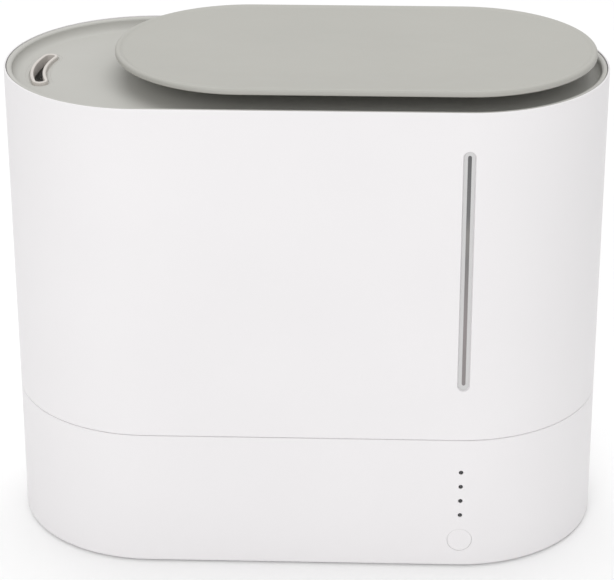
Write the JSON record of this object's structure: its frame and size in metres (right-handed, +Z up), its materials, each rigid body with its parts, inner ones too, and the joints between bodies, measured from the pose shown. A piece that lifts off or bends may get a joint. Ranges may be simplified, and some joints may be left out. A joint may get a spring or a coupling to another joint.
{
  "type": "cool mist humidifier",
  "caption": "Slot-shaped tabletop ultrasonic humidifier: white base and lift-off tank, grey inset tray with a crescent mist outlet, dished fill cover and a level window.",
  "frame": {"origin": "centre of the footprint on the surface that the four feet stand on", "axes": "+X to the right along the long side, +Y to the back (the front panel faces -Y), +Z up"},
  "size_m": [0.3016, 0.1446, 0.255],
  "materials": {
    "white_plastic": "fine satin moulded ABS, plain white",
    "grey_plastic": "fine matte moulded ABS, warm light grey",
    "pale_plastic": "matte moulded plastic",
    "foot_rubber": "soft moulded rubber",
    "silicone": "translucent silicone rubber",
    "steel": "bright steel",
    "black_plastic": "black glass-filled plastic",
    "copper": "enamelled copper windings",
    "bronze": "sintered bronze",
    "magnet": "dull ferrite",
    "board": "green solder mask over glass-fibre board",
    "alloy": "extruded aluminium",
    "smoked_lens": "smoked polycarbonate",
    "clear_lens": "tinted clear polycarbonate",
    "reed_glass": "glass reed capsule with wire leads",
    "wire": "PVC insulated leads"
  },
  "bodies": {
    "base": {"base_shell": "white_plastic", "base_deck": "white_plastic", "bottom_plate": "white_plastic", "rubber_feet": "foot_rubber", "plate_screws": "steel", "fan_frame": "black_plastic", "fan_stator": "copper", "fan_bearing": "bronze", "fan_screws": "steel", "transducer_disc": "steel", "transducer_seal": "silicone", "transducer_clamp": "black_plastic", "transducer_screws": "steel", "driver_board": "board", "board_screws": "steel", "heat_sink": "alloy", "driver_parts": "pale_plastic", "control_board": "board", "tact_switch": "black_plastic", "indicator_leds": "pale_plastic", "indicator_lenses": "smoked_lens", "dc_jack": "black_plastic", "jack_pin": "steel", "reed_switch": "reed_glass", "float_cap": "white_plastic", "wiring_harness": "wire"},
    "fan": {"fan_rotor": "black_plastic", "rotor_magnet": "magnet", "fan_shaft": "steel"},
    "button": {"power_button": "white_plastic"},
    "float": {"level_float": "pale_plastic", "float_magnet": "magnet"},
    "tank": {"tank_shell": "white_plastic", "window_lens": "clear_lens", "window_seal": "silicone", "mist_duct": "white_plastic", "duct_gasket": "silicone", "valve_housing": "white_plastic", "valve_neck_seal": "silicone", "valve_spring": "steel"},
    "plunger": {"valve_plunger": "grey_plastic", "valve_gasket": "silicone"},
    "tray": {"top_tray": "grey_plastic", "tray_seal": "silicone", "mist_nozzle": "pale_plastic", "nozzle_seal": "silicone"},
    "cover": {"fill_cover": "grey_plastic", "cover_seal": "silicone"}
  },
  "joints": [
    {"name": "fan_spin", "type": "hinge", "parent": "base", "child": "fan", "pos_m": [-0.028, 0, 0.016], "axis": [0, 0, 1], "continuous": true},
    {"name": "button_press", "type": "slide", "parent": "base", "child": "button", "axis": [0, 1, 0], "range_m": [0, 0.0008], "stiffness_N_per_m": 400, "springref_m": -0.002},
    {"name": "float_rise", "type": "slide", "parent": "base", "child": "float", "axis": [0, 0, 1], "range_m": [0, 0.012]},
    {"name": "tank_lift", "type": "slide", "parent": "base", "child": "tank", "axis": [0, 0, 1], "range_m": [0, 0.06]},
    {"name": "valve_travel", "type": "slide", "parent": "tank", "child": "plunger", "axis": [0, 0, 1], "range_m": [-0.004, 0], "deforming": ["valve_spring"]},
    {"name": "tray_lift", "type": "slide", "parent": "tank", "child": "tray", "axis": [0, 0, 1], "range_m": [0, 0.04]},
    {"name": "cover_lift", "type": "slide", "parent": "tray", "child": "cover", "axis": [0, 0, 1], "range_m": [0, 0.04]}
  ],
  "couplings": [
    {"joint": "valve_travel", "follows": "tank_lift", "ratio": -0.0666}
  ]
}
